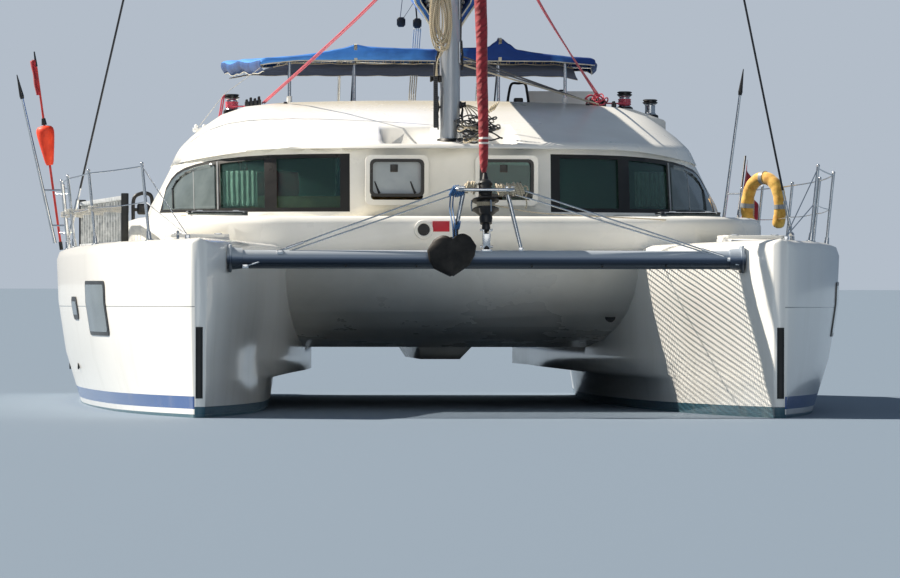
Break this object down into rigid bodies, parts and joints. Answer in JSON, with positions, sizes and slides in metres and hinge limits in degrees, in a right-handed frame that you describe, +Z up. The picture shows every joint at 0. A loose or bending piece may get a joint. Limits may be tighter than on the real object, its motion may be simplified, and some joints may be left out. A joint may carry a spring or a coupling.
{
  "type": "cruising sailing catamaran",
  "caption": "Twin-hulled cruising sailing yacht afloat, with a bridge-deck saloon, net between the bows, stowed mainsail, rolled red headsail and blue sun canopy.",
  "frame": {"origin": "amidships on the centreline, at the waterline", "axes": "+Z up along the mast, -Y toward the bows, +X to port"},
  "size_m": [6.8864, 11.55, 18.11],
  "materials": {
    "gelcoat": "white gelcoat, glossy",
    "antifoul": "teal antifouling paint, matt",
    "glass": "tinted acrylic, polished",
    "window_black": "black window surround, satin",
    "alloy": "anodised, satin",
    "beam_paint": "blue-grey paint on alloy, satin",
    "stainless": "polished stainless steel",
    "canvas_blue": "royal blue acrylic canvas",
    "sail_red": "red ultraviolet strip of the rolled headsail",
    "net": "knotless netting, off-white",
    "black_plastic": "black moulded and anodised parts",
    "galvanised": "dark weathered galvanising",
    "bronze": "bronze, satin",
    "cast_grey": "grey marine paint",
    "cushion_red": "dark red upholstery",
    "orange": "signal orange foam and pole",
    "yellow": "yellow covered foam"
  },
  "bodies": {
    "boat": {"hull_starboard": "gelcoat", "hull_port": "gelcoat", "bridgedeck": "gelcoat", "deck_plinth": "gelcoat", "cabin_walls": "gelcoat", "coachroof": "gelcoat", "aft_bulkhead": "gelcoat", "cockpit_seats": "gelcoat", "helm_console": "gelcoat", "helm_seat": "gelcoat", "keel_starboard": "antifoul", "keel_port": "antifoul", "window_glass_starboard": "glass", "window_glass_port": "glass", "front_window_starboard": "glass", "front_window_port": "glass", "window_frame_starboard": "window_black", "window_frame_port": "window_black", "mast": "alloy", "gangway": "alloy", "crossbeam": "beam_paint", "striker": "stainless", "bimini_frame": "stainless", "shroud_starboard": "stainless", "shroud_port": "stainless", "rail_starboard": "stainless", "rail_port": "stainless", "bimini_canopy": "canvas_blue", "furled_genoa": "sail_red", "trampoline": "net", "furler_drum": "black_plastic", "winch_starboard": "black_plastic", "winch_port": "black_plastic", "winch_port_aft": "black_plastic", "anchor": "galvanised", "saildrive_starboard": "cast_grey", "saildrive_port": "cast_grey", "engine_starboard": "cast_grey", "engine_port": "cast_grey", "saloon_settee": "cushion_red", "danbuoy": "orange", "lifebuoy": "yellow"},
    "boom": {"boom": "alloy", "sail_bag": "canvas_blue"},
    "steering_wheel": {"steering_wheel": "stainless"},
    "saloon_door": {"saloon_door": "glass"},
    "rudder_starboard": {"rudder_starboard": "antifoul"},
    "propeller_starboard": {"propeller_starboard": "bronze"},
    "engine_lid_starboard": {"engine_lid_starboard": "gelcoat"},
    "bow_lid_starboard": {"bow_lid_starboard": "gelcoat"},
    "deck_hatch_starboard": {"deck_hatch_starboard": "glass"},
    "rudder_port": {"rudder_port": "antifoul"},
    "propeller_port": {"propeller_port": "bronze"},
    "engine_lid_port": {"engine_lid_port": "gelcoat"},
    "bow_lid_port": {"bow_lid_port": "gelcoat"},
    "deck_hatch_port": {"deck_hatch_port": "glass"}
  },
  "joints": [
    {"name": "boom_swing", "type": "hinge", "parent": "boat", "child": "boom", "pos_m": [0, -1.055, 3.22], "axis": [0, 0, 1], "range_deg": [-50, 50]},
    {"name": "wheel_turn", "type": "hinge", "parent": "boat", "child": "steering_wheel", "pos_m": [1.27, 2.555, 1.96], "axis": [0, -1, 0], "range_deg": [-270, 270]},
    {"name": "door_slide", "type": "slide", "parent": "boat", "child": "saloon_door", "axis": [-1, 0, 0], "range_m": [0, 0.74]},
    {"name": "rudder_starboard_turn", "type": "hinge", "parent": "boat", "child": "rudder_starboard", "pos_m": [-2.25, 4.845, -0.3], "axis": [0, 0, 1], "range_deg": [-35, 35]},
    {"name": "propeller_starboard_spin", "type": "hinge", "parent": "boat", "child": "propeller_starboard", "pos_m": [-2.25, 4.085, -0.76], "axis": [0, 1, 0], "continuous": true},
    {"name": "engine_lid_starboard_open", "type": "hinge", "parent": "boat", "child": "engine_lid_starboard", "pos_m": [-2.25, 3.555, 1.3563], "axis": [1, 0, 0], "range_deg": [0, 80]},
    {"name": "bow_lid_starboard_open", "type": "hinge", "parent": "boat", "child": "bow_lid_starboard", "pos_m": [-2.215, -4.375, 1.3983], "axis": [1, 0, 0], "range_deg": [0, 90]},
    {"name": "deck_hatch_starboard_open", "type": "hinge", "parent": "boat", "child": "deck_hatch_starboard", "pos_m": [-1.97, -1.925, 1.6043], "axis": [1, 0, 0], "range_deg": [0, 90]},
    {"name": "rudder_port_turn", "type": "hinge", "parent": "boat", "child": "rudder_port", "pos_m": [2.25, 4.845, -0.3], "axis": [0, 0, 1], "range_deg": [-35, 35]},
    {"name": "propeller_port_spin", "type": "hinge", "parent": "boat", "child": "propeller_port", "pos_m": [2.25, 4.085, -0.76], "axis": [0, 1, 0], "continuous": true},
    {"name": "engine_lid_port_open", "type": "hinge", "parent": "boat", "child": "engine_lid_port", "pos_m": [2.25, 3.555, 1.3563], "axis": [1, 0, 0], "range_deg": [0, 80]},
    {"name": "bow_lid_port_open", "type": "hinge", "parent": "boat", "child": "bow_lid_port", "pos_m": [2.215, -4.375, 1.3983], "axis": [1, 0, 0], "range_deg": [0, 90]},
    {"name": "deck_hatch_port_open", "type": "hinge", "parent": "boat", "child": "deck_hatch_port", "pos_m": [1.97, -1.925, 1.6043], "axis": [1, 0, 0], "range_deg": [0, 90]}
  ],
  "couplings": [
    {"joint": "rudder_starboard_turn", "follows": "wheel_turn", "ratio": 0.1296},
    {"joint": "rudder_port_turn", "follows": "wheel_turn", "ratio": 0.1296}
  ]
}
